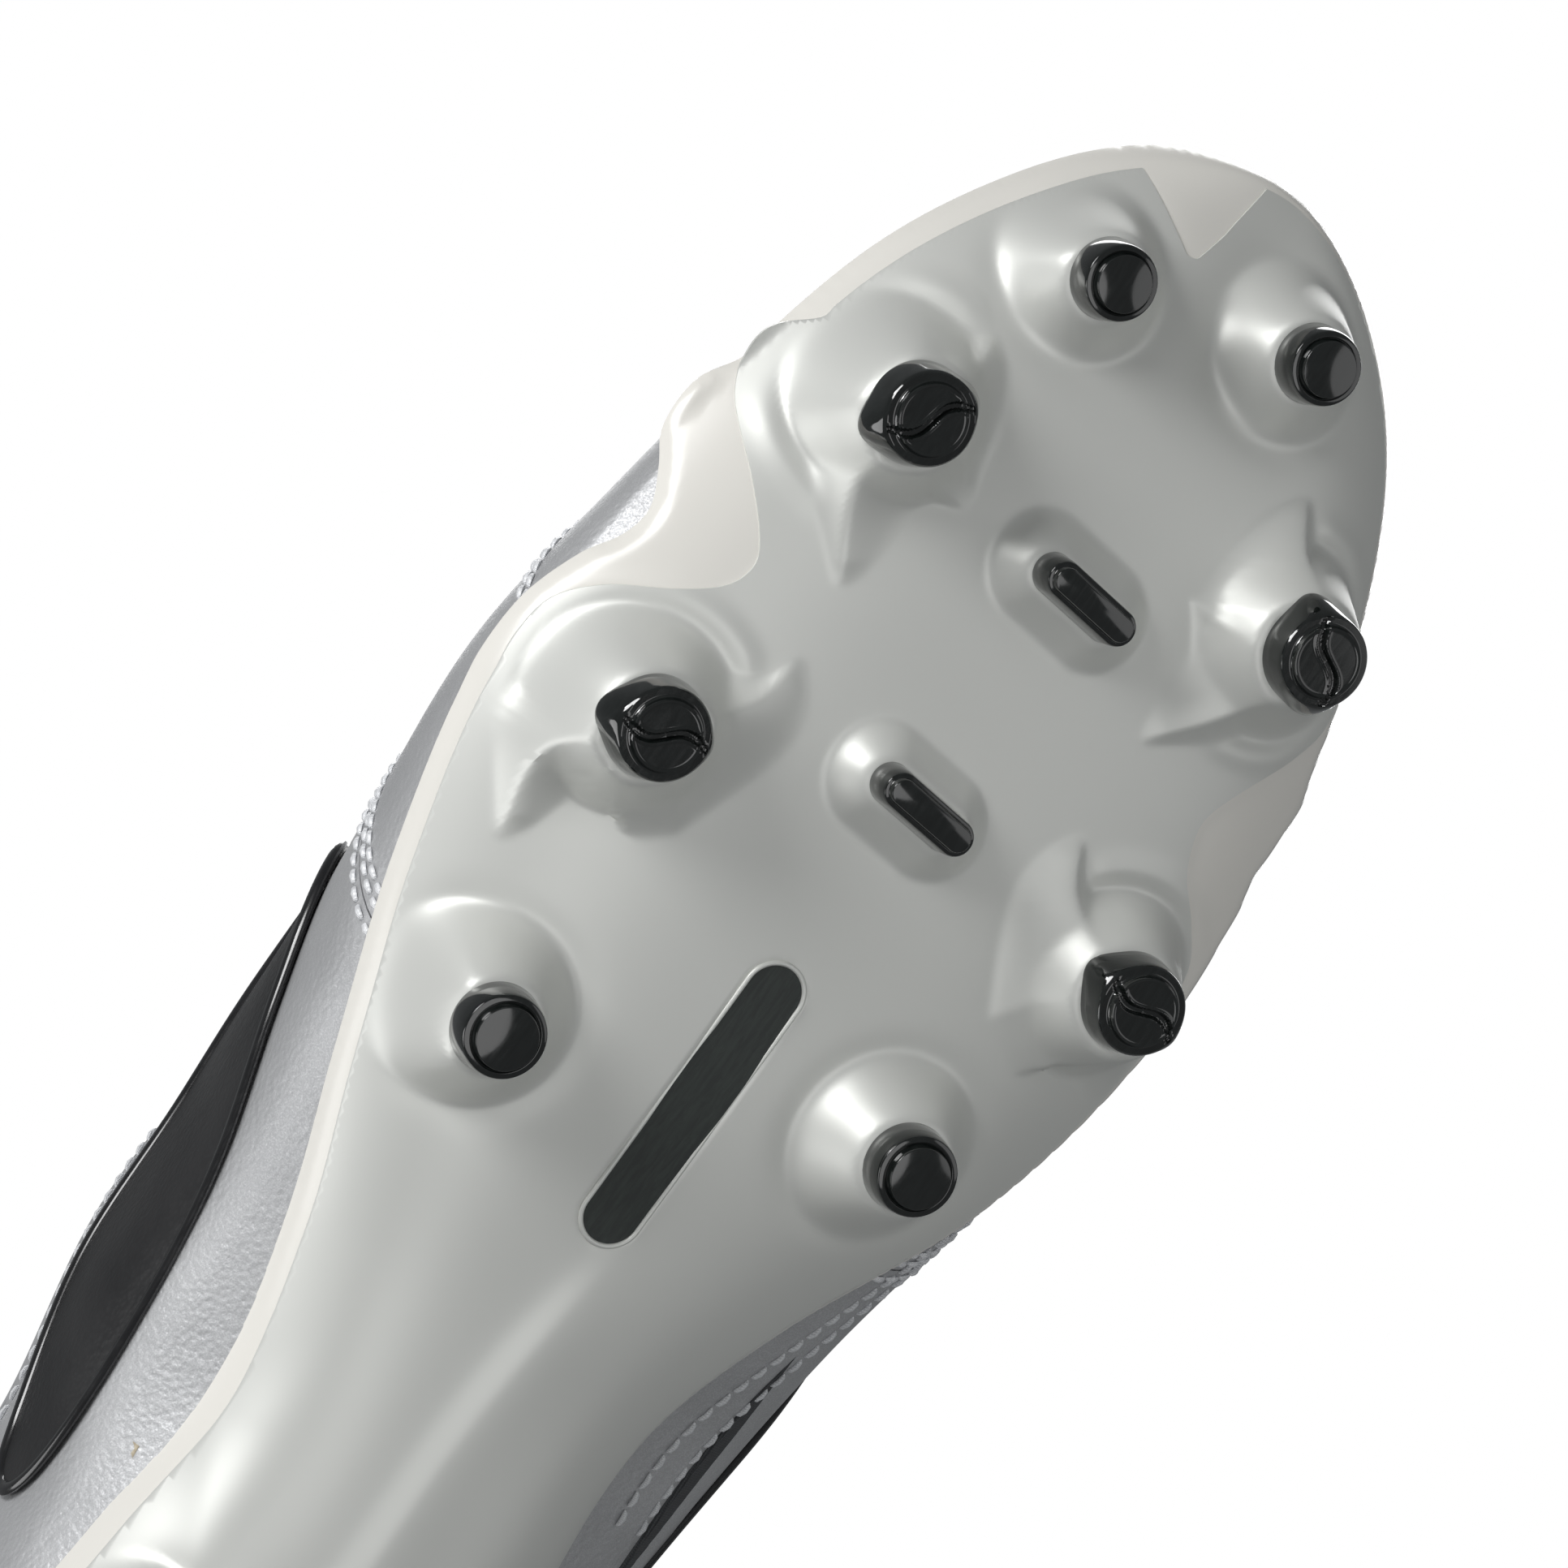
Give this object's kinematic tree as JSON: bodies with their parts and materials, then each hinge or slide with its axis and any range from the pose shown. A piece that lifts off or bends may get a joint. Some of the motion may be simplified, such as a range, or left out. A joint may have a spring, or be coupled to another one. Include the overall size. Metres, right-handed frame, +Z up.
{
  "type": "football boot",
  "caption": "Right-foot firm-ground football boot with a moulded studded sole plate, leather upper, side panels, laced throat and padded tongue.",
  "frame": {"origin": "middle of the bounding box, on the plane through the stud faces that the boot stands on", "axes": "+Z up, toe towards -Y, heel towards +Y, medial (inner) side towards +X"},
  "size_m": [0.1042, 0.286, 0.1116],
  "materials": {
    "stud": "glossy black",
    "foam": "textile-covered foam",
    "leather": "metallic silver grain",
    "stiffener": "moulded thermoplastic",
    "lace": "woven polyester",
    "board": "pressed fibre",
    "aglet": "clear plastic",
    "eyestay": "metallic silver grain",
    "panel": "black grained synthetic",
    "clear_plate": "milky translucent",
    "lining": "knitted textile",
    "silver_film": "satin pearl silver",
    "inlay": "satin black",
    "puff": "stiffened non-woven",
    "tongue": "padded metallic leather"
  },
  "bodies": {
    "root": {"blade_stud_lateral_ball": "stud", "blade_stud_lateral_front": "stud", "blade_stud_medial_ball": "stud", "blade_stud_medial_front": "stud", "centre_bar_front": "stud", "centre_bar_rear": "stud", "collar_foam": "foam", "heel_cover": "leather", "heel_stiffener": "stiffener", "heel_stud_lateral_back": "stud", "heel_stud_lateral_front": "stud", "heel_stud_medial_back": "stud", "heel_stud_medial_front": "stud", "lace": "lace", "lasting_board": "board", "lateral_aglet": "aglet", "lateral_eyestay": "eyestay", "lateral_quarter": "leather", "lateral_side_panel": "panel", "medial_aglet": "aglet", "medial_eyestay": "eyestay", "medial_quarter": "leather", "medial_side_panel": "panel", "outsole_plate": "clear_plate", "quarter_lining": "lining", "round_stud_lateral_rear": "stud", "round_stud_medial_rear": "stud", "sockliner": "foam", "sole_film": "silver_film", "sole_inlay": "inlay", "toe_puff": "puff", "toe_stud_lateral": "stud", "toe_stud_medial": "stud", "tongue": "tongue", "vamp": "leather", "vamp_lining": "lining"}
  },
  "joints": []
}
